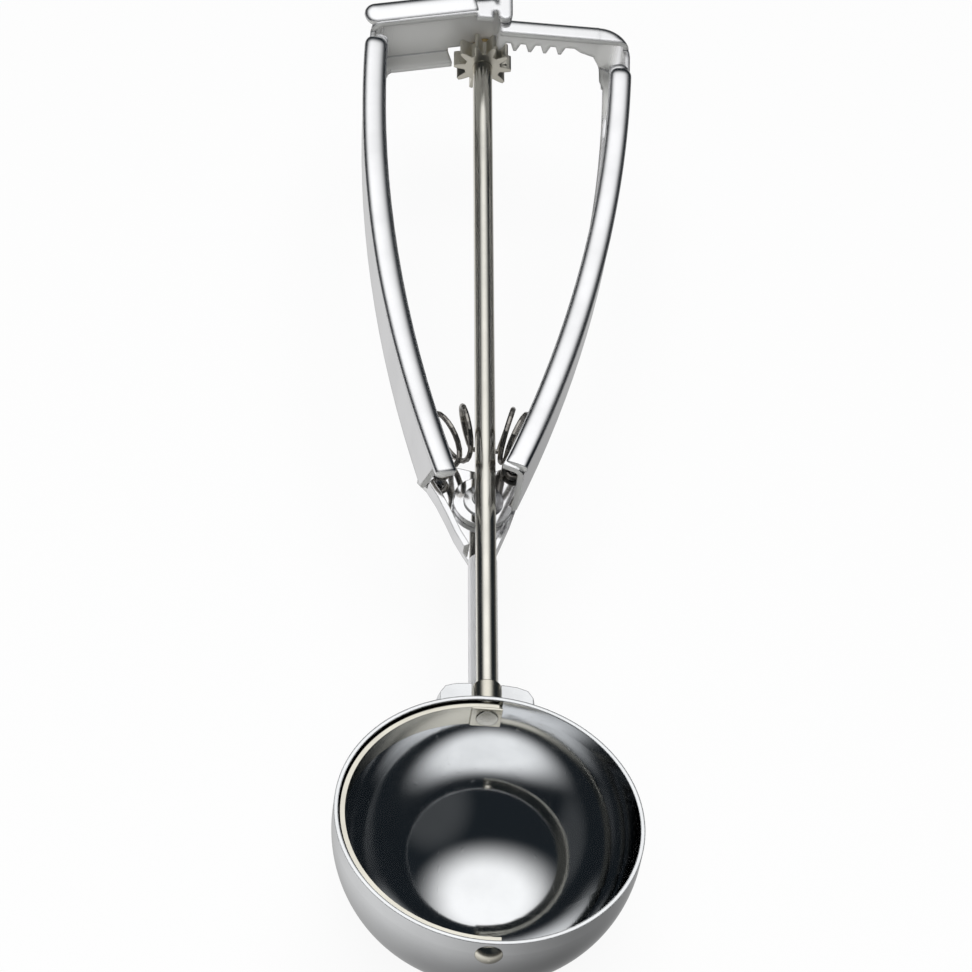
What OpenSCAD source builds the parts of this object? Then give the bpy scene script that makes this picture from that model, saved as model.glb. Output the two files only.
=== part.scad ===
// Squeeze-handle ice cream scoop.
// The scoop lies along +Y with the bowl at the origin, its mouth facing +Z.
// A lever handle with rack teeth turns a pinion, and the pinion's shaft
// swings a scraper blade through the bowl.

/* [Bowl] */
// Outer diameter of the bowl
bowl_d = 56; // [52:1:58]
// Thickness of the bowl's sheet
bowl_wall = 0.8; // [0.6:0.1:1]
// Height of the straight lip above the ball's centre
lip_h = 3.3; // [3:0.1:5]

/* [Scraper] */
// Diameter of the scraper shaft
shaft_d = 4; // [3.8:0.1:4.2]
// Width of the blade on the lip's side of the shaft axis
blade_up = 2.6; // [2.3:0.1:2.9]
// Width of the blade on the other side of the shaft axis
blade_down = 2.3; // [2.3:0.1:2.9]
// Thickness of the blade
blade_t = 0.9; // [0.7:0.1:1.1]
// Gap between the blade and the bowl
blade_gap = 0.25; // [0.2:0.05:0.4]

/* [Pinion and rack] */
// Number of teeth on the pinion
pinion_teeth = 10; // [9:1:10]
// Module of the teeth
tooth_module = 1; // [0.95:0.01:1.02]
// Length of the pinion along the shaft
pinion_len = 4.1; // [3.8:0.1:4.2]
// Half thickness of a tooth at its tip
tooth_tip = 0.3; // [0.24:0.02:0.32]
// Number of teeth on the rack
rack_teeth = 5; // [5:1:5]

/* [Handles] */
// Distance from the bowl's centre to the handle pivot
pivot_y = 82; // [80:1:84]
// Lean of the handles against the shaft
lean = 2.3; // [2.2:0.1:2.4]
// Distance from the pivot to the back of the lever's top bar
bar_reach = 122; // [121.8:0.1:122.4]
// Height of the fixed handle's top bar over the pivot
fixed_reach = 126.7; // [126.5:0.1:127.2]
// Slope of the fixed handle's top bar
fixed_slope = 15.5; // [15:0.1:16]
// Thickness of the handle sheet
sheet = 1.2; // [1.1:0.05:1.25]
// Outer radius of the channel's bends
bend_r = 1.9; // [1.6:0.1:2.2]
// Inside depth of the lever handle's channel
channel_depth = 10.1; // [9.8:0.1:10.4]
// Width of the flanges along the lever's arm
rail_w = 4.4; // [4:0.1:4.8]
// Width of the flanges along the fixed arm
fixed_rail_w = 3.7; // [3.3:0.1:4.1]
// Height of the flanges along the top bars
bar_flange = 4.8; // [4.2:0.1:5.2]
// Radius of the arms' long curve
arm_r = 350; // [340:5:360]
// Outer radius of the corner between an arm and its bar
corner_r = 6.5; // [5.5:0.5:7.5]
// Distance from the middle to the lever's foot
lever_foot = 6.6; // [6.4:0.1:6.8]
// Angle of the lever at its foot
lever_splay = 20.9; // [20.6:0.1:21.2]
// Distance from the middle to the fixed handle's foot
fixed_foot = 10.8; // [10.6:0.1:11]
// Angle of the fixed handle at its foot
fixed_splay = 16.4; // [16.2:0.1:16.6]
// Height of the tab above the fixed top bar
tab_h = 5; // [4:0.5:7]

// Distance from the lever's corner down to its arm's flange
lever_drop = 5.2; // [4:0.2:6.4]
// Distance from the fixed handle's corner down to its arm's flange
fixed_drop = 3.4; // [2.4:0.2:4.4]

/* [Pivot] */
// Diameter of the pivot pin
pin_d = 4.5; // [4.2:0.1:4.8]
// Diameter of the pin's head
pin_head_d = 7.7; // [7:0.1:8.4]
// Thickness of the pin's head
pin_head_t = 0.9; // [0.8:0.05:1]
// Thickness of the washer under the riveted tail
washer_t = 0.5; // [0.4:0.1:0.7]
// Radius of the lever's lug round the pin
lug_r = 5.9; // [5.7:0.1:6.1]

/* [Stem] */
// Diameter of the stem behind the shaft
stem_d = 5.6; // [5.2:0.1:6]
// Outer diameter of the collar that carries the shaft
collar_d = 5.4; // [5.2:0.1:5.6]
// Length of the collar
collar_len = 5.2; // [4.6:0.1:5.4]

/* [Return spring] */
// Thickness of the spring wire
wire_d = 1.1; // [1:0.05:1.15]
// Mean radius of the spring's turns
coil_r = 5.2; // [5:0.1:5.3]
// Angle between the spring's turns on the fixed side
left_pitch = 18.4; // [17.5:0.1:19]
// Angle between the spring's turns on the lever's side
right_pitch = 9.4; // [9.3:0.1:9.6]

/* [Fits] */
// Radial play of the turning shaft and pins
play = 0.05; // [0.03:0.01:0.08]
// Gap between the nested channels
nest_gap = 0.1; // [0.1:0.05:0.15]

/* [Hidden] */
eps = 0.01;
fit = 0.02;
lap = 0.04;
bowl_r = bowl_d / 2;
bowl_in = bowl_r - bowl_wall;
shaft_r = shaft_d / 2;
blade_out = bowl_in - blade_gap;
blade_in = blade_out - blade_t;
blade_end = 2;
hub_t = 0.6;
shaft_low = blade_in - hub_t;
pitch_r = tooth_module * pinion_teeth / 2;
tip_r = pitch_r + tooth_module;
root_r = pitch_r - 1.25 * tooth_module;
pitch = PI * tooth_module;
// the pinion, the ring and the shaft's end hang on the fixed top bar
pinion_y = pivot_y + fixed_reach - 7.7;
pinion_top = pinion_y + pinion_len;
ring_y = pivot_y + fixed_reach + 1.9;
shaft_top = pivot_y + fixed_reach + 3.3;
zl = -(shaft_r + 0.5 + pin_head_t);
pin_r = pin_d / 2;
tail_r = 1.7;
bush_r = 2.6;
post_left = [-8.3, 5.8];
post_right = [5.8, 7.2];
foot_w = -1.5;
lev_z0 = -sheet;
lev_z1 = channel_depth + sheet;
fix_z0 = -2 * sheet - nest_gap;
fix_z1 = channel_depth + 2 * sheet + nest_gap;
// the lever's arc, its corner and where the arc meets the corner
lev_cx = lever_foot - arm_r * cos(lever_splay);
lev_cw = foot_w + arm_r * sin(lever_splay);
lev_kw = bar_reach - corner_r;
lev_kx = lev_cx + sqrt(pow(arm_r - corner_r, 2) - pow(lev_kw - lev_cw, 2));
lev_end = asin((lev_cw - lev_kw) / (arm_r - corner_r));
// the fixed handle's arc and corner, worked out on the +X side and mirrored
fix_cx = fixed_foot - arm_r * cos(fixed_splay);
fix_cw = foot_w + arm_r * sin(fixed_splay);
fix_n = [sin(fixed_slope), cos(fixed_slope)];
fix_t = [cos(fixed_slope), -sin(fixed_slope)];
fix_line = fixed_reach * cos(fixed_slope) - corner_r;
fix_up = fix_line - fix_n * [fix_cx, fix_cw];
fix_along = sqrt(pow(arm_r - corner_r, 2) - pow(fix_up, 2));
fix_k = [fix_cx, fix_cw] + fix_n * fix_up + fix_t * fix_along;
fix_end = asin((fix_cw - fix_k[1]) / (arm_r - corner_r));
tab_x = 1.7;
// how far the tab hangs below the fixed top bar
tab_drop = 6.9;
fix_bar = (fix_k[0] + corner_r * sin(fixed_slope) + tab_x + 0.6) / cos(fixed_slope);
// the shaft axis in the handles' frame
function shaft_z(w) = -(zl + w * sin(lean)) / cos(lean);
rack_w = bar_reach - sheet / 2;
rack_z = shaft_z(rack_w) + pitch_r / cos(lean);
rack_x0 = 2.3;
coil_w = 13;
coil_z = shaft_z(coil_w) - shaft_r - 0.2 - wire_d / 2 + coil_r;
cross_x = shaft_r + 0.9;
stem_z = -(shaft_r + 0.5 + stem_d / 2);
// how far the saddle stands behind the bowl, and how deep the stem sits in it
saddle_stand = 5.6;
stem_sunk = 0.8;
saddle_y = bowl_r + saddle_stand;
stem_y0 = saddle_y - stem_sunk;
collar_y = bowl_in + 0.15;

function arc(c, r, a0, a1, n) =
  [for (i = [0 : n]) c + r * [cos(a0 + (a1 - a0) * i / n), sin(a0 + (a1 - a0) * i / n)]];

module in_handles() {
  translate([0, pivot_y, zl]) rotate([lean, 0, 0]) children();
}

// section of a channel: web's outer face at x = out, flanges pointing to -X
module channel(out, z0, z1, wide, t = sheet, bend = bend_r) {
  polygon(concat(
    [[out - wide, z0]],
    arc([out - bend, z0 + bend], bend, -90, 0, 4),
    arc([out - bend, z1 - bend], bend, 0, 90, 4),
    [[out - wide, z1], [out - wide, z1 - t]],
    arc([out - bend, z1 - bend], bend - t, 90, 0, 3),
    arc([out - bend, z0 + bend], bend - t, 0, -90, 3),
    [[out - wide, z0 + t]]));
}

// section of a web with one flange, on the front only
module angle_bar(out, z0, z1, wide) {
  polygon(concat(
    [[out - sheet, z0], [out, z0]],
    arc([out - bend_r, z1 - bend_r], bend_r, 0, 90, 4),
    [[out - wide, z1], [out - wide, z1 - sheet]],
    arc([out - bend_r, z1 - bend_r], bend_r - sheet, 90, 0, 3)));
}

// the bend between an arm and its bar, just inside their surfaces; the front
// flange follows the bar and is notched away below it
module corner(from, z0, z1) {
  difference() {
    rotate([0, 0, from - 2]) rotate_extrude(angle = 94 - from, $fn = 96)
      channel(corner_r - lap, z0 + lap, z1 - lap, bar_flange - 2 * lap, sheet - 2 * lap, bend_r - lap);
    translate([-20, -20, z1 - bend_r - 0.25]) cube([40, 20 + corner_r - bar_flange, bend_r + 1]);
  }
}

// cuts an arm's front flange back to a rounded end below the bend
module flange_end(drop, wide, z1) {
  translate([0, 0, z1 - bend_r - 0.12]) linear_extrude(bend_r + 1) difference() {
    translate([corner_r - wide - 1, -drop - wide / 2]) square([wide + 2, drop + wide / 2 + 1]);
    translate([corner_r - wide / 2, -drop - wide / 2]) rotate(5) circle(d = 1.2 * wide, $fn = 28);
  }
}

// a section drawn in (height, z), run along -X from x = 0
module along_bar(len) {
  rotate([0, -90, 0]) linear_extrude(len) mirror([1, -1, 0]) children();
}

module dome(d, h) {
  ball = (d * d / 4 + h * h) / (2 * h);
  intersection() {
    cylinder(d = d, h = h, $fn = 64);
    translate([0, 0, h - ball]) sphere(r = ball, $fn = 96);
  }
}

module bowl() {
  color("silver") difference() {
    union() {
      difference() {
        sphere(r = bowl_r, $fn = 128);
        sphere(r = bowl_in, $fn = 128);
        translate([-bowl_d, -bowl_d, 0]) cube([2 * bowl_d, 2 * bowl_d, bowl_d]);
      }
      difference() {
        cylinder(r = bowl_r, h = lip_h, $fn = 128);
        translate([0, 0, -1]) cylinder(r = bowl_in, h = lip_h + 2, $fn = 128);
      }
    }
    translate([0, bowl_in - 7, 0]) rotate([-90, 0, 0]) cylinder(d = collar_d + 2 * fit, h = 20, $fn = 48);
    translate([0, 7 - bowl_in, 0]) rotate([90, 0, 0]) cylinder(r = 1.25 + fit, h = 20, $fn = 48);
  }
}

module bowl_saddle() {
  color("gainsboro") difference() {
    intersection() {
      translate([0, 0, -3]) rotate([-90, 0, 0]) rotate_extrude($fn = 96) polygon([
        [0, 20], [9.1, 20], [9.1, saddle_y - 2.6], [8.2, saddle_y - 1],
        [6.4, saddle_y - 0.3], [4, saddle_y], [0, saddle_y]]);
      translate([-12, 15, -14]) cube([24, saddle_y - 11.6, 14]);
    }
    sphere(r = bowl_r + fit, $fn = 128);
    translate([0, 20, 0]) rotate([-90, 0, 0]) cylinder(d = collar_d + 2 * fit, h = 20, $fn = 48);
    translate([0, stem_y0, stem_z]) rotate([-90, 0, 0])
      cylinder(d = stem_d + 2 * fit, h = 20, $fn = 48);
  }
}

module shaft_collar() {
  color("tan") translate([0, collar_y, 0]) rotate([-90, 0, 0]) difference() {
    cylinder(d = collar_d, h = collar_len, $fn = 48);
    translate([0, 0, -1]) cylinder(r = shaft_r + play, h = collar_len + 2, $fn = 48);
  }
}

module stem() {
  color("silver") difference() {
    translate([0, stem_y0, stem_z]) rotate([-90, 0, 0])
      cylinder(d = stem_d, h = pivot_y - 14 - stem_y0, $fn = 48);
    in_handles() translate([-5, -24 - fit, fix_z0 - fit]) cube([10, 20, sheet + 2 * fit]);
  }
}

module lug_plate() {
  polygon([[-12.6, 5.4], [-10.7, 3.2], [-8.9, -0.2], [-7, -4.7], [-5.5, -8.6], [-3.8, -12], [-2.2, -15],
    [-2.2, -24], [2.2, -24], [2.2, -13.2], [5.3, -4.2], [6.4, -0.3], [7.6, 4.2],
    [3, 7.4], [-7.5, 9.5]]);
}

module fixed_handle() {
  color("whitesmoke") difference() {
    union() {
      in_handles() mirror([1, 0, 0]) fixed_arm();
      in_handles() fixed_lug();
    }
    translate([0, pinion_y - 6, 0]) rotate([-90, 0, 0]) cylinder(r = bush_r + fit, h = 20, $fn = 48);
    in_handles() translate([0, 0, -10]) cylinder(r = tail_r + fit, h = 20, $fn = 48);
    in_handles() translate([post_left[0], post_left[1], -10]) cylinder(r = 0.6 + fit, h = 20, $fn = 24);
  }
}

module fixed_arm() {
  difference() {
    translate([fix_cx, fix_cw, 0]) rotate([0, 0, -fixed_splay])
      rotate_extrude(angle = fixed_splay - fix_end, $fn = 360)
        channel(arm_r, fix_z0, fix_z1, fixed_rail_w);
    translate([fix_k[0], fix_k[1], 0]) rotate([0, 0, -fix_end])
      flange_end(fixed_drop, fixed_rail_w, fix_z1);
    // the foot's edge slopes up to the lug
    translate([20, 0, 0]) rotate([0, -90, 0]) linear_extrude(20)
      polygon([[fix_z1 - 2.5, -4], [fix_z1 - 2.5, foot_w + 0.2], [fix_z0 - 1, 4.6], [fix_z0 - 1, -4]]);
  }
  translate([fix_k[0], fix_k[1], 0]) rotate([0, 0, -fixed_slope]) {
    corner(fixed_slope - fix_end, fix_z0, fix_z1);
    fixed_bar();
  }
  fixed_tab();
}

module fixed_bar() {
  near = (fix_k[0] + (corner_r - bar_flange) * sin(fixed_slope) - tip_r - 0.4) / cos(fixed_slope);
  ear = (fix_k[0] + corner_r * sin(fixed_slope)) / cos(fixed_slope);
  along_bar(near) channel(corner_r, fix_z0, fix_z1, bar_flange);
  difference() {
    translate([-near + 0.5, 0, 0]) along_bar(fix_bar - near + 0.5)
      angle_bar(corner_r, fix_z0 + bend_r, fix_z1, bar_flange);
    translate([-fix_bar - 1, corner_r - 10, fix_z1 - bend_r]) cube([2.5, 20, 5]);
  }
  translate([-ear, corner_r - sheet, shaft_z(fixed_reach)]) rotate([-90, 0, 0])
    cylinder(r = bush_r + 1.1, h = sheet, $fn = 64);
}

// the lug and the upright tab at the inner end of the fixed bar
module fixed_tab() {
  base = fixed_reach + tab_x * tan(fixed_slope);
  top = base + tab_h;
  low = fixed_reach - tab_drop;
  translate([-tab_x - sheet, base - sheet, 2]) cube([sheet, tab_h + sheet, fix_z1 - 2 - sheet / 2]);
  translate([-tab_x - 3, low + 1.5, fix_z1 - sheet]) cube([3, top - low - 1.5, sheet]);
  translate([-tab_x - 1.5, low + 1.5, fix_z1 - sheet]) cylinder(r = 1.5, h = sheet, $fn = 32);
  translate([-0.8, low, fix_z1 - sheet]) cube([3.5, 4.6, sheet]);
}

module fixed_lug() {
  translate([0, 0, fix_z0]) linear_extrude(sheet) lug_plate();
  translate([0, 0, fix_z0]) linear_extrude(3.2)
    polygon([[-10.7, 3.2], [-8.9, -0.2], [-7, -4.7], [-5.5, -8.6], [-3.8, -12], [-2.7, -11.4],
      [-4.4, -8.1], [-5.9, -4.2], [-7.8, 0.3], [-9.6, 3.7]]);
  translate([0, 0, fix_z0]) linear_extrude(3.2)
    polygon([[2.2, -13.2], [4.75, -5.8], [3.9, -5.3], [1.4, -12.6]]);
}

module lever_handle() {
  color("whitesmoke") in_handles() difference() {
    union() {
      difference() {
        translate([lev_cx, lev_cw, 0]) rotate([0, 0, -lever_splay])
          rotate_extrude(angle = lever_splay - lev_end, $fn = 360)
            channel(arm_r, lev_z0, lev_z1, rail_w);
        translate([lev_kx, lev_kw, 0]) rotate([0, 0, -lev_end])
          flange_end(lever_drop, rail_w, lev_z1);
      }
      translate([lev_kx, lev_kw, 0]) corner(-lev_end, lev_z0, lev_z1);
      translate([lev_kx, lev_kw, 0]) along_bar(lev_kx - rack_x0)
        angle_bar(corner_r, lev_z0 + bend_r, lev_z1, bar_flange);
      translate([0, 0, lev_z0]) cylinder(r = lug_r, h = sheet, $fn = 64);
      translate([0, 0, lev_z0]) linear_extrude(sheet)
        polygon([[-5.6, 2], [0.4, 6.6], [3.6, 8.4], [7.2, 13.5], [9.4, 11], [7.4, 3], [5, -2.4]]);
    }
    translate([0, bar_reach - 8, 0]) rotate([-90, 0, 0]) linear_extrude(10) rack_cut();
    translate([0, 0, -10]) cylinder(r = pin_r + play, h = 20, $fn = 48);
    translate([post_right[0], post_right[1], -5]) cylinder(r = 0.6 + fit, h = 10, $fn = 24);
  }
}

// the sheet cut away behind the rack's edge; y is -z here
module rack_cut() {
  root = rack_z + 1.2 * tooth_module;
  tip = rack_z - 0.85 * tooth_module;
  foot = tooth_tip + 2.05 * tooth_module * tan(20);
  last = (rack_teeth + 0.92) * pitch;
  edge = concat(
    [[rack_x0 - 1, -root]],
    [for (i = [1 : rack_teeth]) each [
      [i * pitch - foot, -root], [i * pitch - tooth_tip, -tip],
      [i * pitch + tooth_tip, -tip], [i * pitch + foot, -root]]],
    [[last, -root], [last + 1.4, 1 - root], [last + 4.2, 2 - root], [last + 6.4, -lev_z0],
      [last + 6.4, 8], [rack_x0 - 1, 8]]);
  polygon(edge);
}

// a headed post that stands on a handle's sheet and holds the spring's eye
module spring_post(foot) {
  translate([0, 0, -sheet]) cylinder(r = 0.6, h = sheet + 0.1, $fn = 24);
  translate([0, 0, fit]) cylinder(r = 0.8, h = foot + wire_d + 0.3 - fit, $fn = 32);
  translate([0, 0, foot + wire_d + 0.25]) dome(2.2, 0.7);
}

module spring_post_left() {
  color("silver") in_handles() translate([post_left[0], post_left[1], fix_z0 + sheet])
    spring_post(eye_z - wire_d / 2 - fix_z0 - sheet);
}

module spring_post_right() {
  color("silver") in_handles() translate([post_right[0], post_right[1], 0])
    spring_post(eye_z - wire_d / 2);
}

module pivot_pin() {
  low = fix_z0 - washer_t;
  color("silver") in_handles() {
    translate([0, 0, fix_z0 + sheet]) cylinder(r = pin_r, h = 2 * sheet, $fn = 48);
    translate([0, 0, low - 0.1]) cylinder(r = tail_r, h = -low, $fn = 48);
    translate([0, 0, low]) mirror([0, 0, 1]) dome(5.4, 0.9);
    translate([0, 0, play]) cylinder(d = pin_head_d, h = 0.3, $fn = 64);
    translate([0, 0, play + 0.3]) dome(pin_head_d, pin_head_t - 0.3);
  }
}

module pivot_washer() {
  color("gray") in_handles() translate([0, 0, fix_z0 - washer_t]) difference() {
    cylinder(r = 3.7, h = washer_t, $fn = 64);
    translate([0, 0, -1]) cylinder(r = tail_r + fit, h = washer_t + 2, $fn = 48);
  }
}

module top_bush() {
  color("goldenrod") translate([0, pinion_top + 0.2, 0]) rotate([-90, 0, 0]) difference() {
    union() {
      cylinder(r = bush_r, h = ring_y - 0.2 - pinion_top - 0.2, $fn = 48);
      cylinder(r = bush_r + 0.5, h = 0.6, $fn = 48);
    }
    translate([0, 0, -1]) cylinder(r = shaft_r + play, h = 20, $fn = 48);
  }
}

module scraper_shaft() {
  color("tan") difference() {
    translate([0, shaft_low - 0.15, 0]) rotate([-90, 0, 0])
      cylinder(r = shaft_r, h = shaft_top - shaft_low + 0.15, $fn = 48);
    translate([-5, pinion_y + 1, 0]) rotate([0, 90, 0]) cylinder(r = 0.6 + fit, h = 10, $fn = 24);
  }
}

module pinion() {
  step = 360 / pinion_teeth;
  sides = [[root_r, 0.78], [pitch_r, 0.62], [tip_r - 0.35, 0.46]];
  teeth = [for (i = [0 : pinion_teeth - 1]) each concat(
    [for (p = sides) tooth(p[0], p[1] * tooth_module, -1, i * step)],
    [tooth(tip_r, tooth_tip, -1, i * step), tooth(tip_r, tooth_tip, 1, i * step)],
    [for (k = [2, 1, 0]) tooth(sides[k][0], sides[k][1] * tooth_module, 1, i * step)])];
  color("darkkhaki") difference() {
    translate([0, pinion_y, 0]) rotate([-90, 0, 0]) rotate([0, 0, -90 + step / 2])
      linear_extrude(pinion_len) polygon(teeth);
    translate([0, pinion_y - 1, 0]) rotate([-90, 0, 0]) cylinder(r = shaft_r + fit, h = 20, $fn = 48);
    translate([-5, pinion_y + 1, 0]) rotate([0, 90, 0]) cylinder(r = 0.6 + fit, h = 10, $fn = 24);
  }
}

// a point of a tooth's side, `half` away from the tooth's middle line
function tooth(r, half, side, turn) =
  [sqrt(r * r - half * half) * cos(turn) - side * half * sin(turn),
   sqrt(r * r - half * half) * sin(turn) + side * half * cos(turn)];

module pinion_pin() {
  color("silver") translate([-root_r + 0.2, pinion_y + 1, 0]) rotate([0, 90, 0])
    cylinder(r = 0.6, h = 2 * root_r - 0.4, $fn = 24);
}

module shaft_ring() {
  color("silver") translate([0, ring_y, 0]) rotate([-90, 0, 0]) difference() {
    cylinder(r = shaft_r + 1.1, h = 0.8, $fn = 48);
    translate([0, 0, -1]) cylinder(r = shaft_r + fit, h = 3, $fn = 48);
  }
}

module scraper_blade() {
  color("khaki") difference() {
    intersection() {
      difference() {
        sphere(r = blade_out, $fn = 128);
        sphere(r = blade_in, $fn = 128);
      }
      translate([-bowl_r, -bowl_r, -blade_down]) cube([bowl_r + blade_end, bowl_d, blade_up + blade_down]);
    }
    translate([0, 10, 0]) rotate([-90, 0, 0]) cylinder(r = shaft_r + fit, h = bowl_r, $fn = 48);
    translate([0, -10, 0]) rotate([90, 0, 0]) cylinder(r = 1.25 + play, h = bowl_r, $fn = 48);
  }
}

module blade_hub() {
  color("tan") difference() {
    intersection() {
      translate([-3, shaft_low, -blade_down]) cube([3 + blade_end + 0.6, hub_t + 1, blade_up + blade_down]);
      sphere(r = blade_in - fit, $fn = 360);
    }
    translate([0, 10, 0]) rotate([-90, 0, 0]) cylinder(r = shaft_r + fit, h = bowl_r, $fn = 48);
  }
}

module front_rivet() {
  tail = blade_in - 0.7;
  color("silver") {
    translate([0, -bowl_r, 0]) rotate([90, 0, 0]) dome(5, 1.2);
    translate([0, -tail, 0]) rotate([90, 0, 0]) cylinder(r = 1.25, h = bowl_r - tail + 0.1, $fn = 48);
    translate([0, -tail, 0]) rotate([-90, 0, 0]) dome(3.6, 0.7);
  }
}

module rivet_washer() {
  tail = blade_in - 0.7;
  color("gray") translate([0, -tail, 0]) rotate([90, 0, 0]) difference() {
    cylinder(r = 2.1, h = 0.45, $fn = 48);
    translate([0, 0, -1]) cylinder(r = 1.25 + fit, h = 3, $fn = 48);
  }
}

// the spring: turns fanned round the pivot on both sides of the shaft, joined
// behind it, each end running to an eye round a post
coil_fan = 13;
eye_r = 0.8 + wire_d / 2 + 0.1;
eye_z = 0.75;
turn_steps = 22;
left_turns = 2;
right_turns = 1.75;
left_turn = 10.7;
right_turn = asin(cross_x / coil_fan);
// turn k of the fan: angle round the pivot and round the wire's own turn
function fan_point(fan, a) = let (r = coil_fan + coil_r * cos(a))
  [r * sin(fan), r * cos(fan), coil_z + coil_r * sin(a)];
left_fan = [for (i = [0 : left_turns * turn_steps]) let (k = left_turns - i / turn_steps)
  fan_point(-left_turn - k * left_pitch, -90 + k * 360)];
right_fan = [for (i = [0 : right_turns * turn_steps])
  fan_point(right_turn + i / turn_steps * right_pitch, -90 + i / turn_steps * 360)];
function eye(post, from, side) = [for (i = [0 : 14])
  [post[0] + eye_r * cos(from + side * i * 22), post[1] + eye_r * sin(from + side * i * 22), eye_z]];
left_end = left_fan[0];
right_end = right_fan[len(right_fan) - 1];
function between(a, b, n) = [for (i = [1 : n - 1]) a + (b - a) * i / n];
left_eye = [for (i = [14 : -1 : 0]) eye(post_left, 52, -1)[i]];
right_eye = eye(post_right, 150, -1);
right_knee = right_eye[0] - 1.6 * [0.5, 0.87, -0.1];
wire = concat(left_eye, between(left_eye[14], left_end, 6), left_fan,
  between(left_fan[len(left_fan) - 1], right_fan[0], 5), right_fan,
  between(right_end, right_knee, 5), [right_knee], between(right_knee, right_eye[0], 3), right_eye);
function unit(v) = v / norm(v);
function along(i) = unit(wire[min(i + 1, len(wire) - 1)] - wire[max(i - 1, 0)]);
// the wire's rings keep from twisting: each takes its sides from the one before
function frames(i, n) = let (t = along(i), m = unit(n - (n * t) * t))
  i == len(wire) - 1 ? [m] : concat([m], frames(i + 1, m));
sides_at = frames(0, [0, 0, 1]);
function ring_at(i) = let (t = along(i), n = sides_at[i], b = cross(t, n))
  [for (k = [0 : 7]) wire[i] + wire_d / 2 * (cos(k * 45) * n + sin(k * 45) * b)];

module return_spring() {
  rings = len(wire) - 1;
  points = [for (i = [0 : rings]) each ring_at(i)];
  sides = [for (i = [0 : rings - 1], k = [0 : 7])
    [i * 8 + k, (i + 1) * 8 + k, (i + 1) * 8 + (k + 1) % 8, i * 8 + (k + 1) % 8]];
  first = [[0, 1, 2, 3, 4, 5, 6, 7]];
  last = [[for (k = [7 : -1 : 0]) rings * 8 + k]];
  color("silver") in_handles() polyhedron(points, concat(first, sides, last), 4);
}

bowl();
bowl_saddle();
shaft_collar();
stem();
fixed_handle();
pivot_pin();
pivot_washer();
top_bush();
front_rivet();
rivet_washer();
spring_post_left();
return_spring();
lever_handle();
spring_post_right();
scraper_shaft();
pinion();
pinion_pin();
shaft_ring();
scraper_blade();
blade_hub();
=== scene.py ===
"""Looks of a squeeze-handle ice cream scoop, laid out as an add-on."""
import math

import bpy
import bmesh
from mathutils import Matrix, Vector


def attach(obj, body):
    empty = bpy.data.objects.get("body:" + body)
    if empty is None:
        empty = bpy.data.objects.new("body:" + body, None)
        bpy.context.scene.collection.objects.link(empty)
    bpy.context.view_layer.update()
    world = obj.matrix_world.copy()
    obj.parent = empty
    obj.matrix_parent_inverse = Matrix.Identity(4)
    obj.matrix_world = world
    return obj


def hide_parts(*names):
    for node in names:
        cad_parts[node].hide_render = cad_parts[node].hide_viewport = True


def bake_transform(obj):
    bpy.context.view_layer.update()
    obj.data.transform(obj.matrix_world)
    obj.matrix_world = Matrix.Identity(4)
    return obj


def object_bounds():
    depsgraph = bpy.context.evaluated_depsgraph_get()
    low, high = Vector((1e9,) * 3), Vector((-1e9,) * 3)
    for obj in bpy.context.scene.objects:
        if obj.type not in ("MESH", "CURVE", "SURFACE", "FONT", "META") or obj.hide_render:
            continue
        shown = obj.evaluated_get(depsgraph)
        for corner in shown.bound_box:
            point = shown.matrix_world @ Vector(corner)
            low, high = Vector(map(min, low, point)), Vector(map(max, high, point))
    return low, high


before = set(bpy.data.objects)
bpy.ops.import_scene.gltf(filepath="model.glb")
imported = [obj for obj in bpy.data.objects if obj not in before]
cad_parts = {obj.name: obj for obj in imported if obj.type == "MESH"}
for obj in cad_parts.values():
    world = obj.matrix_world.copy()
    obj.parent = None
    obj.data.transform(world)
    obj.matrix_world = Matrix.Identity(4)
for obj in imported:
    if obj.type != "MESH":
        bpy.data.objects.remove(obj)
CAD_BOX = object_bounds()

bl_info = {
    "name": "Lever ice cream scoop",
    "version": (1, 0, 0),
    "blender": (4, 5, 0),
    "location": "View3D > Sidebar > Scoop",
    "description": "Materials, small pieces, stage and camera for a lever ice cream scoop",
    "category": "Object",
}

MM = 0.001


# ---------------------------------------------------------------- settings

class SCOOP_PG_metal(bpy.types.PropertyGroup):
    """Colours and finish of the scoop's metals"""

    bowl_color: bpy.props.FloatVectorProperty(
        name="Bowl", description="Colour of the polished bowl",
        subtype="COLOR", size=3, min=0.0, max=1.0, default=(0.80, 0.81, 0.82))
    handle_color: bpy.props.FloatVectorProperty(
        name="Handles", description="Colour of the chromed handles",
        subtype="COLOR", size=3, min=0.0, max=1.0, default=(0.86, 0.86, 0.87))
    nickel_color: bpy.props.FloatVectorProperty(
        name="Nickel", description="Colour of the pinion, the blade and the rivet",
        subtype="COLOR", size=3, min=0.0, max=1.0, default=(0.74, 0.71, 0.62))
    polish: bpy.props.FloatProperty(
        name="Polish", description="Roughness of the polished sheet",
        subtype="FACTOR", min=0.0, max=1.0, default=0.06)
    wear: bpy.props.FloatProperty(
        name="Wear", description="Depth of the fine scratches",
        subtype="FACTOR", min=0.0, max=1.0, default=0.35)


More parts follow.
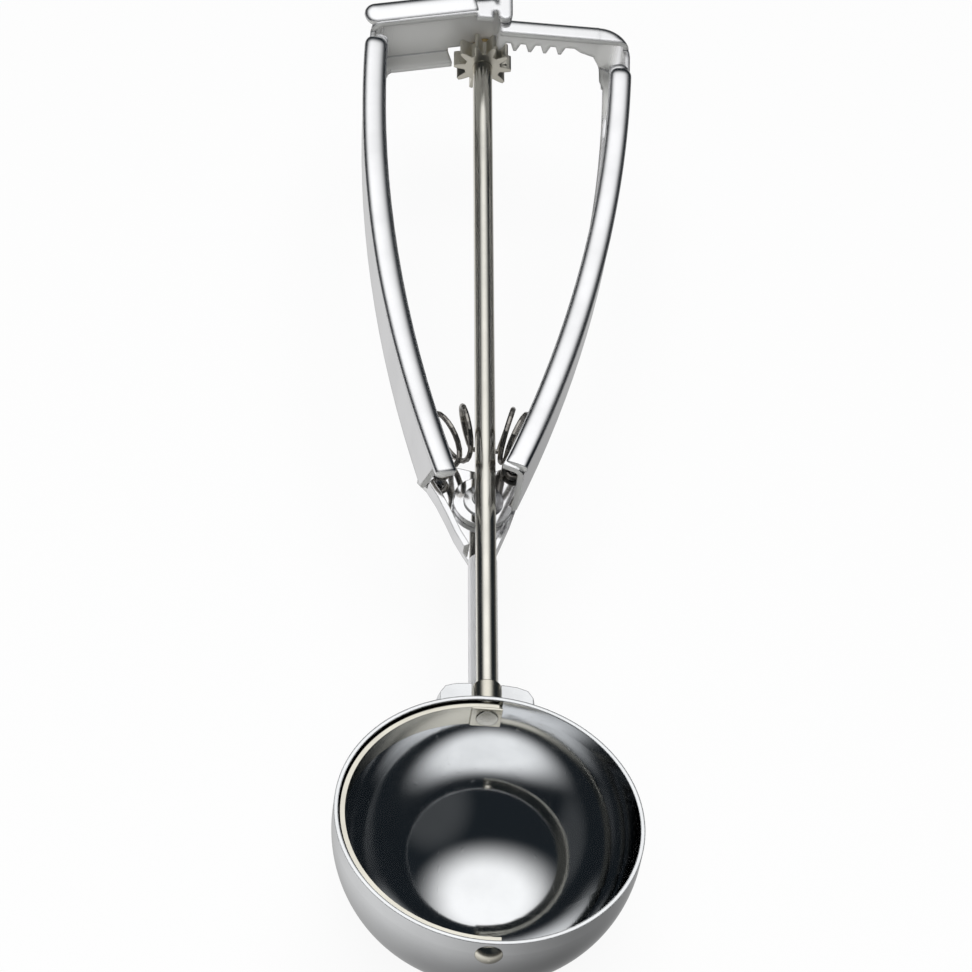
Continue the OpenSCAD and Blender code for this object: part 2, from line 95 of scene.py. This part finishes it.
class SCOOP_PG_stage(bpy.types.PropertyGroup):
    """Camera and light round the scoop"""

    lens: bpy.props.FloatProperty(
        name="Lens", description="Focal length of the camera on a 36 mm sensor, in millimetres",
        min=20.0, max=400.0, default=166.667)
    key_power: bpy.props.FloatProperty(
        name="Key light", description="Power of the large light overhead",
        subtype="POWER", unit="POWER", min=0.0, default=6.0)
    fill_power: bpy.props.FloatProperty(
        name="Fill light", description="Power of the soft light at the front",
        subtype="POWER", unit="POWER", min=0.0, default=2.6)
    room: bpy.props.FloatProperty(
        name="Room", description="Brightness of the room round the scoop",
        min=0.0, max=4.0, default=1.0)
    floor_gap: bpy.props.FloatProperty(
        name="Floor gap", description="Distance from the scoop's lowest point to the floor",
        subtype="DISTANCE", unit="LENGTH", min=0.0, default=0.0005)


# ---------------------------------------------------------------- node helpers

def node(tree, kind, at=(0, 0), **values):
    """A node of that kind at a place in the tree, with its properties set by name."""
    made = tree.nodes.new(kind)
    made.location = at
    for name, value in values.items():
        setattr(made, name, value)
    return made


def link(tree, out, into):
    """Joins an output to an input."""
    tree.links.new(out, into)


def first_of(tree, kind):
    """The first node of that kind."""
    return next(n for n in tree.nodes if n.bl_idname == kind)


def maths(tree, operation, first, second=None, third=None, clamp=False):
    """A Math node; its inputs are sockets or plain numbers."""
    made = node(tree, "ShaderNodeMath", operation=operation, use_clamp=clamp)
    for number, value in enumerate((first, second, third)):
        if value is None:
            continue
        if isinstance(value, (int, float)):
            made.inputs[number].default_value = value
        else:
            link(tree, value, made.inputs[number])
    return made.outputs[0]


def ramp(tree, value, start, end):
    """0 at start, 1 at end, eased between them and flat outside."""
    made = node(tree, "ShaderNodeMapRange", interpolation_type="SMOOTHSTEP")
    made.inputs["From Min"].default_value = min(start, end)
    made.inputs["From Max"].default_value = max(start, end)
    made.inputs["To Min"].default_value = float(start > end)
    made.inputs["To Max"].default_value = float(start < end)
    link(tree, value, made.inputs["Value"])
    return made.outputs["Result"]


def noise_mask(tree, at, scale, detail, vector, limits=None):
    """Noise in a space of points; with limits, 0 at the lower and 1 at the upper one."""
    noise = node(tree, "ShaderNodeTexNoise", at)
    noise.inputs["Scale"].default_value = scale
    noise.inputs["Detail"].default_value = detail
    link(tree, vector, noise.inputs["Vector"])
    if limits is None:
        return noise.outputs["Fac"]
    mask = node(tree, "ShaderNodeMapRange", (at[0] + 200, at[1]))
    mask.inputs["From Min"].default_value = limits[0]
    mask.inputs["From Max"].default_value = limits[1]
    link(tree, noise.outputs["Fac"], mask.inputs["Value"])
    return mask.outputs["Result"]


def axes_of(tree, at, vector):
    """The outputs X, Y and Z of a vector."""
    split = node(tree, "ShaderNodeSeparateXYZ", at)
    link(tree, vector, split.inputs["Vector"])
    return split.outputs


def along_direction(tree, at, vector, direction):
    """How far a vector goes along a direction."""
    made = node(tree, "ShaderNodeVectorMath", at, operation="DOT_PRODUCT")
    link(tree, vector, made.inputs[0])
    made.inputs[1].default_value = direction
    return made.outputs["Value"]


def pick_shader(tree, at, share, first, second):
    """The first shader, changing to the second with the share."""
    made = node(tree, "ShaderNodeMixShader", at)
    link(tree, share, made.inputs["Fac"])
    link(tree, first, made.inputs[1])
    link(tree, second, made.inputs[2])
    return made.outputs["Shader"]


# ---------------------------------------------------------------- metals

# Texture scales are counted per metre
SMUDGE_SCALE = 90.0
SMUDGE_LIMITS = (0.42, 0.72)
SCRATCH_SCALE = (900.0, 60.0, 900.0)
SCRATCH_TURN = (0.3, 0.2, 0.5)
SCRATCH_LIMITS = (0.66, 0.78)
GRAIN_SCALE = 2600.0
# How much darker a smudge is, and the depth of the fine relief in millimetres
SMUDGE_SHADE = 0.92
RELIEF_DEPTH = 0.02
EDGE_SAMPLES = 6

# Satin faces scatter most of the light
SATIN_METALLIC = 0.35
SATIN_ROUGHNESS = 0.34
SATIN_COLOR = (0.70, 0.70, 0.68)
# A face counts as turned to a side when its normal goes well past half that way
FACING = (3.0, -1.6)
# Where the rear flanges of the top bars begin, in millimetres along Y and Z
REAR_ALONG = (186.0, 190.0)
REAR_DEPTH = (7.0, 5.0)


def metal_surface_group():
    """Fine scratches, smudges and polishing marks shared by all metals."""
    name = "metal_surface"
    if name in bpy.data.node_groups:
        return bpy.data.node_groups[name]
    group = bpy.data.node_groups.new(name, "ShaderNodeTree")
    face = group.interface
    face.new_socket("Vector", in_out="INPUT", socket_type="NodeSocketVector")
    for label, value in (("Roughness", 0.1), ("Smudge", 0.05), ("Scratch", 0.3), ("Grain", 0.0)):
        socket = face.new_socket(label, in_out="INPUT", socket_type="NodeSocketFloat")
        socket.default_value = value
    for label in ("Roughness", "Height", "Tone"):
        face.new_socket(label, in_out="OUTPUT", socket_type="NodeSocketFloat")
    inside = node(group, "NodeGroupInput", (-900, 0))
    outside = node(group, "NodeGroupOutput", (600, 0))
    vector = inside.outputs["Vector"]

    smudge = noise_mask(group, (-600, 200), SMUDGE_SCALE, 4.0, vector, SMUDGE_LIMITS)
    rough = maths(group, "MULTIPLY_ADD", smudge, inside.outputs["Smudge"],
                  inside.outputs["Roughness"])

    scratch_space = node(group, "ShaderNodeMapping", (-750, -100))
    scratch_space.inputs["Scale"].default_value = SCRATCH_SCALE
    scratch_space.inputs["Rotation"].default_value = SCRATCH_TURN
    link(group, vector, scratch_space.inputs["Vector"])
    scratch = noise_mask(group, (-550, -100), 1.0, 3.0, scratch_space.outputs["Vector"],
                         SCRATCH_LIMITS)
    scratch = maths(group, "MULTIPLY", scratch, inside.outputs["Scratch"])

    grain = noise_mask(group, (-550, -350), GRAIN_SCALE, 2.0, vector)
    grain = maths(group, "MULTIPLY", grain, inside.outputs["Grain"])

    link(group, rough, outside.inputs["Roughness"])
    link(group, maths(group, "SUBTRACT", grain, scratch), outside.inputs["Height"])
    link(group, smudge, outside.inputs["Tone"])
    return group


def metal(name, color, roughness, smudge, scratch, grain=0.0, edge=0.25):
    """A metal with its colour, finish, fine surface detail and rounded edges in millimetres."""
    made = bpy.data.materials.new("scoop_" + name)
    made.use_nodes = True
    tree = made.node_tree
    tree.nodes.clear()
    out = node(tree, "ShaderNodeOutputMaterial", (500, 0))
    surface = node(tree, "ShaderNodeBsdfPrincipled", (200, 0))
    surface.inputs["Metallic"].default_value = 1.0
    link(tree, surface.outputs["BSDF"], out.inputs["Surface"])
    place = node(tree, "ShaderNodeTexCoord", (-800, 0))
    detail = node(tree, "ShaderNodeGroup", (-500, 0))
    detail.node_tree = metal_surface_group()
    link(tree, place.outputs["Object"], detail.inputs["Vector"])
    detail.inputs["Roughness"].default_value = roughness
    detail.inputs["Smudge"].default_value = smudge
    detail.inputs["Scratch"].default_value = scratch
    detail.inputs["Grain"].default_value = grain
    tone = node(tree, "ShaderNodeMix", (-100, 200), data_type="RGBA")
    tone.inputs["A"].default_value = (*color, 1.0)
    tone.inputs["B"].default_value = (*[c * SMUDGE_SHADE for c in color], 1.0)
    link(tree, detail.outputs["Tone"], tone.inputs["Factor"])
    link(tree, tone.outputs["Result"], surface.inputs["Base Color"])
    link(tree, detail.outputs["Roughness"], surface.inputs["Roughness"])
    relief = node(tree, "ShaderNodeBump", (-100, -300))
    relief.inputs["Strength"].default_value = 1.0
    relief.inputs["Distance"].default_value = RELIEF_DEPTH * MM
    link(tree, detail.outputs["Height"], relief.inputs["Height"])
    rounded = node(tree, "ShaderNodeBevel", (-300, -450), samples=EDGE_SAMPLES)
    rounded.inputs["Radius"].default_value = edge * MM
    link(tree, rounded.outputs["Normal"], relief.inputs["Normal"])
    link(tree, relief.outputs["Normal"], surface.inputs["Normal"])
    return made


def satin_inside(material):
    """Leaves the inner faces of the top bars with the sheet's own satin finish.

    These are the faces that look down at the bowl and the inner face of the
    bars' rear flange.
    """
    tree = material.node_tree
    surface = first_of(tree, "ShaderNodeBsdfPrincipled")
    place = node(tree, "ShaderNodeTexCoord", (-1400, 500))
    normal = axes_of(tree, (-1200, 500), place.outputs["Normal"])
    down = maths(tree, "MULTIPLY_ADD", normal["Y"], -FACING[0], FACING[1], clamp=True)
    where = node(tree, "ShaderNodeNewGeometry", (-1400, 800))
    spot = axes_of(tree, (-1200, 800), where.outputs["Position"])
    rear = maths(tree, "MULTIPLY_ADD", normal["Z"], FACING[0], FACING[1], clamp=True)
    for axis, (start, end) in (("Y", REAR_ALONG), ("Z", REAR_DEPTH)):
        rear = maths(tree, "MULTIPLY", rear, ramp(tree, spot[axis], start * MM, end * MM))
    mask = maths(tree, "MAXIMUM", down, rear)
    metallic = maths(tree, "MULTIPLY_ADD", mask, SATIN_METALLIC - 1.0, 1.0)
    link(tree, metallic, surface.inputs["Metallic"])
    for socket, kind, value in (("Roughness", "FLOAT", SATIN_ROUGHNESS),
                                ("Base Color", "RGBA", (*SATIN_COLOR, 1.0))):
        old = surface.inputs[socket].links[0].from_socket
        pick = node(tree, "ShaderNodeMix", (50, 500), data_type=kind)
        link(tree, mask, pick.inputs["Factor"])
        link(tree, old, pick.inputs["A"])
        pick.inputs["B"].default_value = value
        link(tree, pick.outputs["Result"], surface.inputs[socket])


def finer_near(material, spot, reach, small, large):
    """Rounds edges less near a spot, where the lugs of the sheet are small."""
    tree = material.node_tree
    rounded = first_of(tree, "ShaderNodeBevel")
    where = node(tree, "ShaderNodeNewGeometry", (-1400, -500))
    gap = node(tree, "ShaderNodeVectorMath", (-1200, -500), operation="DISTANCE")
    link(tree, where.outputs["Position"], gap.inputs[0])
    gap.inputs[1].default_value = spot
    away = ramp(tree, gap.outputs["Value"], reach * MM, 1.5 * reach * MM)
    radius = maths(tree, "MULTIPLY_ADD", away, (large - small) * MM, small * MM)
    link(tree, radius, rounded.inputs["Radius"])


def dress(names, material):
    """Gives CAD nodes a material."""
    for name in names:
        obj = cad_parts[name]
        for slot in obj.material_slots:
            slot.material = material
        if not obj.material_slots:
            obj.data.materials.append(material)


# ---------------------------------------------------------------- rounded flanges and spring

# The handles' own frame: X across, Y along the handle, Z to the front. Lengths are in
# millimetres.
LEAN = math.radians(2.3)
PIVOT = Vector((0.0, 82.0, -3.4))
ARM_RADIUS = 350.0
CORNER_RADIUS = 6.5
# Height of the arms' feet above the pivot
FOOT = -1.5
LEFT, RIGHT = -1, 1
# Height of the front flanges above the handles' middle plane
FIXED_FACE = 11.95
LEVER_FACE = 10.65

# Where a bead is highest, as a share of its width from the outside, and how
# square its section is: 1 is an ellipse, less is flatter on top
CREST = 0.36
SQUARENESS = 0.55
SECTION_STEPS = 20
LENGTH_STEPS = 60
CAP_STEPS = 7
# How far a bead's underside is set in from its edges and sunk into the flange
UNDERCUT = 0.1
SUNK = 0.5
# Width of the fixed arm's face from the arc inwards
ARM_INWARDS = 3.62


def in_handles(x, along, front):
    """A point of the handles' frame, in the row frame and in metres."""
    turn = Matrix.Rotation(LEAN, 3, "X")
    return (PIVOT + turn @ Vector((x, along, front))) * MM


class Arm:
    """The arc of a handle's arm, seen on the right side."""

    def __init__(self, foot, splay, reach, slope):
        self.splay = math.radians(splay)
        slope = math.radians(slope)
        self.centre = Vector((foot - ARM_RADIUS * math.cos(self.splay),
                              FOOT + ARM_RADIUS * math.sin(self.splay)))
        self.across = Vector((math.sin(slope), math.cos(slope)))
        self.outwards = Vector((math.cos(slope), -math.sin(slope)))
        up = reach * math.cos(slope) - CORNER_RADIUS - self.across.dot(self.centre)
        along = math.sqrt((ARM_RADIUS - CORNER_RADIUS) ** 2 - up ** 2)
        self.corner = self.centre + self.across * up + self.outwards * along
        self.end = math.asin((self.centre.y - self.corner.y) / (ARM_RADIUS - CORNER_RADIUS))

    def at(self, length):
        """Point and outward normal, length above the foot."""
        angle = -self.splay + length / ARM_RADIUS
        normal = Vector((math.cos(angle), math.sin(angle)))
        return self.centre + ARM_RADIUS * normal, normal

    def whole(self):
        """Length of the arc from the foot to the bend."""
        return ARM_RADIUS * (self.splay - self.end)

    def bar(self, length):
        """Point on the bar's outer face and its normal, length inwards of the corner."""
        return self.corner + CORNER_RADIUS * self.across - length * self.outwards, self.across


class Path:
    """A stretch of an arm or of its bar, from one length to another."""

    def __init__(self, line, start, end):
        self.line, self.start, self.length = line, start, end - start

    def __call__(self, t):
        return self.line(self.start + t * self.length)


def stations(length, caps):
    """Places along a bead from 0 to 1, each with the size of the section there."""
    made = []
    for cap, at_start in zip(caps, (True, False)):
        for step in range(CAP_STEPS):
            turn = (step + 0.25) / CAP_STEPS * math.pi / 2
            inset = cap * (1.0 - math.cos(turn)) / length
            made.append((inset if at_start else 1.0 - inset, math.sin(turn)))
    start = caps[0] / length
    straight = 1.0 - (caps[0] + caps[1]) / length
    made += [(start + straight * k / LENGTH_STEPS, 1.0) for k in range(LENGTH_STEPS + 1)]
    return sorted(made)


def section(width, offset, base, crown, size):
    """A bead's closed section, as pairs of distance outwards and height."""
    outer = offset + width / 2 * size
    crest = outer - CREST * width * size
    inner = outer - width * size
    points = []
    for k in range(SECTION_STEPS + 1):
        turn = math.pi * k / SECTION_STEPS
        reach = outer - crest if k * 2 < SECTION_STEPS else crest - inner
        points.append((crest + reach * math.cos(turn),
                       base + crown * size * math.sin(turn) ** SQUARENESS))
    low = base - SUNK * size
    return points + [(inner + UNDERCUT * size, low), (outer - UNDERCUT * size, low)]


def bead(name, path, width, offset, base, crown, caps, side, body, material):
    """A rounded flange face: a low crown swept along a path, with rounded ends.

    path(t) gives point and normal for t from 0 to 1, and the length is path.length;
    width(t) and offset(t) give the face's width and how far out its middle lies.
    """
    mesh = bpy.data.meshes.new(name)
    shape = bmesh.new()
    rings = []
    for t, size in stations(path.length, caps):
        point, normal = path(t)
        ring = []
        for out, high in section(width(t), offset(t), base, crown, size):
            place = point + normal * out
            ring.append(shape.verts.new(in_handles(side * place.x, place.y, high)))
        rings.append(ring)
    for one, two in zip(rings, rings[1:]):
        for k in range(len(one)):
            after = (k + 1) % len(one)
            shape.faces.new((one[k], two[k], two[after], one[after]))
    shape.faces.new(rings[0][::-1])
    shape.faces.new(rings[-1])
    bmesh.ops.recalc_face_normals(shape, faces=shape.faces)
    for face in shape.faces:
        face.smooth = True
    shape.to_mesh(mesh)
    shape.free()
    mesh.materials.append(material)
    made = bpy.data.objects.new(name, mesh)
    bpy.context.scene.collection.objects.link(made)
    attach(made, body)


def flare(t):
    """How far the fixed arm's face stands out past the arc."""
    return 0.6 + 0.45 * min(1.0, t / 0.45)


def add_beads(material):
    """The rounded faces of both arms and of the fixed top bar."""
    fixed = Arm(foot=10.8, splay=16.4, reach=126.7, slope=15.5)
    lever = Arm(foot=6.6, splay=20.9, reach=122.0, slope=0.0)
    bead("fixed_arm_bead", Path(fixed.at, -3.6, fixed.whole() - 3.2),
         width=lambda t: ARM_INWARDS + flare(t), offset=lambda t: (flare(t) - ARM_INWARDS) / 2,
         base=FIXED_FACE, crown=1.25, caps=(0.9, 2.9), side=LEFT,
         body="scoop_body", material=material)
    bead("fixed_bar_bead", Path(fixed.bar, -CORNER_RADIUS - 0.3, 17.2),
         width=lambda t: 5.6, offset=lambda t: -1.7,
         base=FIXED_FACE, crown=1.15, caps=(2.6, 0.4), side=LEFT,
         body="scoop_body", material=material)
    bead("lever_arm_bead", Path(lever.at, 0.6, lever.whole() - 5.4),
         width=lambda t: 4.5, offset=lambda t: -2.1,
         base=LEVER_FACE, crown=1.2, caps=(0.5, 2.6), side=RIGHT,
         body="lever", material=material)


def bending_spring():
    """The spring as one smooth-shaded piece copied from the wire, from the pivot to the lever's
    post.
    """
    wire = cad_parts["return_spring"]
    mesh = wire.data.copy()
    mesh.transform(wire.matrix_world)
    made = bpy.data.objects.new("spring_coil", mesh)
    bpy.context.scene.collection.objects.link(made)
    for face in mesh.polygons:
        face.use_smooth = True
    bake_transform(made)
    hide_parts("return_spring")


# ---------------------------------------------------------------- stage

# The camera's own axes and its place in millimetres
CAMERA_RIGHT = Vector((0.99309597, -0.00533771, 0.11718323))
CAMERA_UP = Vector((-0.07500499, 0.73918163, 0.66931665))
CAMERA_BACK = Vector((-0.09019231, -0.67348499, 0.73367794))
CAMERA_PLACE = Vector((-77.528, -496.894, 631.601))
SENSOR_WIDTH = 36.0

# The soft light over the scoop, as the middle and the half widths of an
# ellipse in the X and Y parts of the direction towards it. Its edge fades
# between these shares of the half widths, and it ends near the horizon.
LIGHT_MIDDLE = (-0.10, 0.28)
LIGHT_REACH = (0.60, 0.58)
LIGHT_EDGE = (1.42, 0.62)
LIGHT_HEIGHT = (0.35, 0.72)
LIGHT_LEVEL = 1.16
# A dim glow low beside the camera, as a share of the light
GLOW_DIRECTION = (0.62, -0.62, 0.47)
GLOW_EDGE = (0.80, 0.97)
GLOW_LEVEL = 0.04
# The dark walls, and the pale table below the horizon
WALL_COLOR = (0.013, 0.017, 0.021)
TABLE_HEIGHT = (-0.28, -0.62)
TABLE_LEVEL = 0.8

# How bright the camera sees the floor, how much of that is even white, and
# how much is even white through clear pieces
FLOOR_WHITE = 0.984
FLOOR_EVEN = 0.93
FLOOR_EVEN_THROUGH = 0.3
FLOOR_COLOR = (0.78, 0.78, 0.78)
FLOOR_RADIUS = 3.0
# Seen in the metal, the floor glows with painted shade: greyer straight below and to the right,
# as a painted shadow of the scoop, and dark towards the horizon
FLOOR_PAINTED_SHADE_SLANT = (0.42, 0.0, -1.1)
FLOOR_PAINTED_SHADE_START = 1.33
FLOOR_PAINTED_HORIZON_SHADE = (0.22, 0.58)
FLOOR_PAINTED_FAR_SHADE = 0.06


def make_world(strength):
    """A studio room: dark walls, one soft light overhead and a pale table below."""
    world = bpy.data.worlds.new("studio")
    bpy.context.scene.world = world
    world.use_nodes = True
    tree = world.node_tree
    tree.nodes.clear()
    out = node(tree, "ShaderNodeOutputWorld", (900, 0))
    place = node(tree, "ShaderNodeTexCoord", (-900, 0))
    toward = axes_of(tree, (-700, 0), place.outputs["Generated"])
    spread = node(tree, "ShaderNodeCombineXYZ", (-500, 300))
    for axis, middle, reach in zip("XY", LIGHT_MIDDLE, LIGHT_REACH):
        link(tree, maths(tree, "MULTIPLY_ADD", toward[axis], 1 / reach, -middle / reach),
             spread.inputs[axis])
    apart = node(tree, "ShaderNodeVectorMath", (-300, 300), operation="LENGTH")
    link(tree, spread.outputs["Vector"], apart.inputs[0])
    light = maths(tree, "MULTIPLY", ramp(tree, apart.outputs["Value"], *LIGHT_EDGE),
                  ramp(tree, toward["Z"], *LIGHT_HEIGHT))
    beside = along_direction(tree, (-600, 200), place.outputs["Generated"], GLOW_DIRECTION)
    light = maths(tree, "MULTIPLY_ADD", ramp(tree, beside, *GLOW_EDGE), GLOW_LEVEL, light)
    table = ramp(tree, toward["Z"], *TABLE_HEIGHT)
    tint = node(tree, "ShaderNodeCombineColor", (0, 300))
    for channel, dark in zip(("Red", "Green", "Blue"), WALL_COLOR):
        level = maths(tree, "MULTIPLY_ADD", light, LIGHT_LEVEL, dark)
        link(tree, maths(tree, "MULTIPLY_ADD", table, TABLE_LEVEL, level), tint.inputs[channel])
    room = node(tree, "ShaderNodeBackground", (200, 100))
    link(tree, tint.outputs["Color"], room.inputs["Color"])
    room.inputs["Strength"].default_value = strength
    seen = node(tree, "ShaderNodeBackground", (200, -100))
    seen.inputs["Color"].default_value = (1.0, 1.0, 1.0, 1.0)
    path = node(tree, "ShaderNodeLightPath", (200, 400))
    picked = pick_shader(tree, (600, 0), path.outputs["Is Camera Ray"],
                         room.outputs["Background"], seen.outputs["Background"])
    link(tree, picked, out.inputs["Surface"])


def floor_material():
    """A pale floor that the camera sees as white, with a faint shadow; the metal sees it glow
    with painted shade.
    """
    made = bpy.data.materials.new("floor")
    made.use_nodes = True
    tree = made.node_tree
    tree.nodes.clear()
    out = node(tree, "ShaderNodeOutputMaterial", (600, 0))
    plain = node(tree, "ShaderNodeBsdfDiffuse", (0, 100))
    plain.inputs["Color"].default_value = (*FLOOR_COLOR, 1.0)
    white = node(tree, "ShaderNodeEmission", (0, -100))
    path = node(tree, "ShaderNodeLightPath", (-600, 300))
    in_metal = path.outputs["Is Glossy Ray"]
    seen = maths(tree, "MULTIPLY", path.outputs["Is Camera Ray"], FLOOR_EVEN)
    through = maths(tree, "MULTIPLY", path.outputs["Is Transmission Ray"], FLOOR_EVEN_THROUGH)
    share = maths(tree, "ADD", maths(tree, "ADD", seen, through), in_metal, clamp=True)
    # Painted shade and painted shadow for rays from the metal: the glow is set by the direction
    # they come in, darker straight below and towards the horizon
    shape = node(tree, "ShaderNodeNewGeometry", (-900, 100))
    incoming = shape.outputs["Incoming"]
    painted_shade_steepness = ramp(tree, axes_of(tree, (-700, 100), incoming)["Z"], *FLOOR_PAINTED_HORIZON_SHADE)
    painted_shade_slant = along_direction(tree, (-700, -100), incoming, FLOOR_PAINTED_SHADE_SLANT)
    painted_shade_below = maths(tree, "ADD", painted_shade_slant, FLOOR_PAINTED_SHADE_START, clamp=True)
    near = maths(tree, "MULTIPLY_ADD", painted_shade_steepness, 1.0 - FLOOR_PAINTED_FAR_SHADE, FLOOR_PAINTED_FAR_SHADE)
    tone = maths(tree, "MULTIPLY", painted_shade_below, near)
    level = maths(tree, "MULTIPLY_ADD", in_metal,
                  maths(tree, "SUBTRACT", tone, FLOOR_WHITE), FLOOR_WHITE)
    link(tree, level, white.inputs["Strength"])
    picked = pick_shader(tree, (300, 0), share, plain.outputs["BSDF"], white.outputs["Emission"])
    link(tree, picked, out.inputs["Surface"])
    return made


def make_floor(gap):
    """A flat round floor under the scoop."""
    mesh = bpy.data.meshes.new("floor")
    shape = bmesh.new()
    level = CAD_BOX[0][2] - gap
    bmesh.ops.create_circle(shape, cap_ends=True, radius=FLOOR_RADIUS, segments=96,
                            matrix=Matrix.Translation((0.0, 0.1, level)))
    shape.to_mesh(mesh)
    shape.free()
    floor = bpy.data.objects.new("floor", mesh)
    bpy.context.scene.collection.objects.link(floor)
    mesh.materials.append(floor_material())


def make_camera(lens):
    """The camera over the bowl, with the handle going away from it."""
    data = bpy.data.cameras.new("camera")
    data.sensor_width = SENSOR_WIDTH
    data.lens = lens
    data.clip_start = 0.01
    camera = bpy.data.objects.new("camera", data)
    bpy.context.scene.collection.objects.link(camera)
    place = Matrix((CAMERA_RIGHT, CAMERA_UP, CAMERA_BACK)).transposed().to_4x4()
    place.translation = CAMERA_PLACE * MM
    camera.matrix_world = place
    bpy.context.scene.camera = camera


def softbox(name, at, size, power, aim):
    """An area light at a place, pointed at another; mirrors don't show it."""
    data = bpy.data.lights.new(name, "AREA")
    data.shape = "RECTANGLE"
    data.size = size[0]
    data.size_y = size[1]
    data.energy = power
    made = bpy.data.objects.new(name, data)
    bpy.context.scene.collection.objects.link(made)
    made.visible_glossy = False
    made.location = at
    made.rotation_euler = (Vector(aim) - Vector(at)).to_track_quat("-Z", "Y").to_euler()


# ---------------------------------------------------------------- operators

class SCOOP_OT_bowl(bpy.types.Operator):
    """Dress the bowl, its saddle and the rivet"""
    bl_idname = "scoop.bowl"
    bl_label = "Bowl"

    def execute(self, context):
        look = context.scene.scoop_metal
        dress(["bowl"], metal("bowl_mirror", look.bowl_color, look.polish,
                              smudge=0.05, scratch=look.wear, edge=0.4))
        dress(["bowl_saddle"], metal("saddle_steel", look.bowl_color, 0.2,
                                     smudge=0.08, scratch=0.3, grain=0.1))
        dress(["front_rivet", "rivet_washer", "shaft_collar"],
              metal("nickel_small", look.nickel_color, 0.18, smudge=0.1, scratch=0.3, grain=0.2))
        return {"FINISHED"}


class SCOOP_OT_handles(bpy.types.Operator):
    """Dress the stem, the two handles and the spring"""
    bl_idname = "scoop.handles"
    bl_label = "Handles"

    def execute(self, context):
        look = context.scene.scoop_metal
        chrome = metal("handle_chrome", look.handle_color, look.polish,
                       smudge=0.04, scratch=look.wear, edge=1.3)
        satin_inside(chrome)
        finer_near(chrome, PIVOT * MM, reach=13.0, small=0.3, large=1.3)
        dress(["fixed_handle", "lever_handle"], chrome)
        stem = metal("stem_satin", look.handle_color, 0.3, smudge=0.08, scratch=0.3, grain=0.2)
        surface = first_of(stem.node_tree, "ShaderNodeBsdfPrincipled")
        surface.inputs["Metallic"].default_value = SATIN_METALLIC
        dress(["stem"], stem)
        add_beads(chrome)
        dress(["pivot_pin", "pivot_washer", "spring_post_left", "spring_post_right"],
              metal("pin_steel", look.handle_color, 0.14, smudge=0.08, scratch=0.3, grain=0.1))
        dress(["return_spring"], metal("spring_wire", (0.42, 0.40, 0.37), 0.24,
                                       smudge=0.1, scratch=0.5, grain=0.3))
        bending_spring()
        return {"FINISHED"}


class SCOOP_OT_scraper(bpy.types.Operator):
    """Dress the shaft, the pinion and the scraper blade"""
    bl_idname = "scoop.scraper"
    bl_label = "Scraper"

    def execute(self, context):
        look = context.scene.scoop_metal
        dress(["scraper_shaft"], metal("nickel_rod", (0.82, 0.80, 0.73), 0.16,
                                       smudge=0.08, scratch=0.4, grain=0.1))
        dress(["pinion", "pinion_pin", "shaft_ring"],
              metal("nickel_pinion", look.nickel_color, 0.28, smudge=0.1, scratch=0.3, grain=0.4))
        dress(["scraper_blade", "blade_hub"],
              metal("blade_nickel", look.nickel_color, 0.16,
                    smudge=0.1, scratch=0.3, grain=0.1, edge=0.12))
        dress(["top_bush"], metal("bush_brass", (0.72, 0.55, 0.28), 0.25,
                                  smudge=0.1, scratch=0.3, grain=0.3))
        return {"FINISHED"}


class SCOOP_OT_stage(bpy.types.Operator):
    """Set up the camera, the world, the lights and the floor"""
    bl_idname = "scoop.stage"
    bl_label = "Stage"

    def execute(self, context):
        stage = context.scene.scoop_stage
        context.scene.view_settings.view_transform = "Standard"
        make_camera(stage.lens)
        make_world(stage.room)
        make_floor(stage.floor_gap)
        softbox("key", at=(0.0, 0.35, 0.9), size=(0.8, 0.6), power=stage.key_power,
                aim=(0.0, 0.09, 0.0))
        softbox("fill", at=(-0.06, -0.38, 0.50), size=(0.4, 0.3), power=stage.fill_power,
                aim=(0.0, 0.19, 0.0))
        return {"FINISHED"}


class SCOOP_PT_panel(bpy.types.Panel):
    """The scoop's operators and settings"""
    bl_label = "Lever ice cream scoop"
    bl_idname = "SCOOP_PT_panel"
    bl_space_type = "VIEW_3D"
    bl_region_type = "UI"
    bl_category = "Scoop"

    def draw(self, context):
        layout = self.layout
        for operator in OPERATORS:
            layout.operator(operator.bl_idname)
        for group in (context.scene.scoop_metal, context.scene.scoop_stage):
            for prop in group.bl_rna.properties:
                if prop.identifier not in {"rna_type", "name"}:
                    layout.prop(group, prop.identifier)


GROUPS = (SCOOP_PG_metal, SCOOP_PG_stage)
OPERATORS = (SCOOP_OT_bowl, SCOOP_OT_handles, SCOOP_OT_scraper, SCOOP_OT_stage)


def register():
    """Adds the settings, the operators and the panel."""
    for cls in GROUPS + OPERATORS + (SCOOP_PT_panel,):
        bpy.utils.register_class(cls)
    bpy.types.Scene.scoop_metal = bpy.props.PointerProperty(type=SCOOP_PG_metal)
    bpy.types.Scene.scoop_stage = bpy.props.PointerProperty(type=SCOOP_PG_stage)


def unregister():
    """Takes them away again."""
    del bpy.types.Scene.scoop_stage
    del bpy.types.Scene.scoop_metal
    for cls in reversed(GROUPS + OPERATORS + (SCOOP_PT_panel,)):
        bpy.utils.unregister_class(cls)


def main():
    """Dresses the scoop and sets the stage."""
    register()
    bpy.ops.scoop.bowl()
    bpy.ops.scoop.handles()
    bpy.ops.scoop.scraper()
    bpy.ops.scoop.stage()


if __name__ == "__main__":
    main()
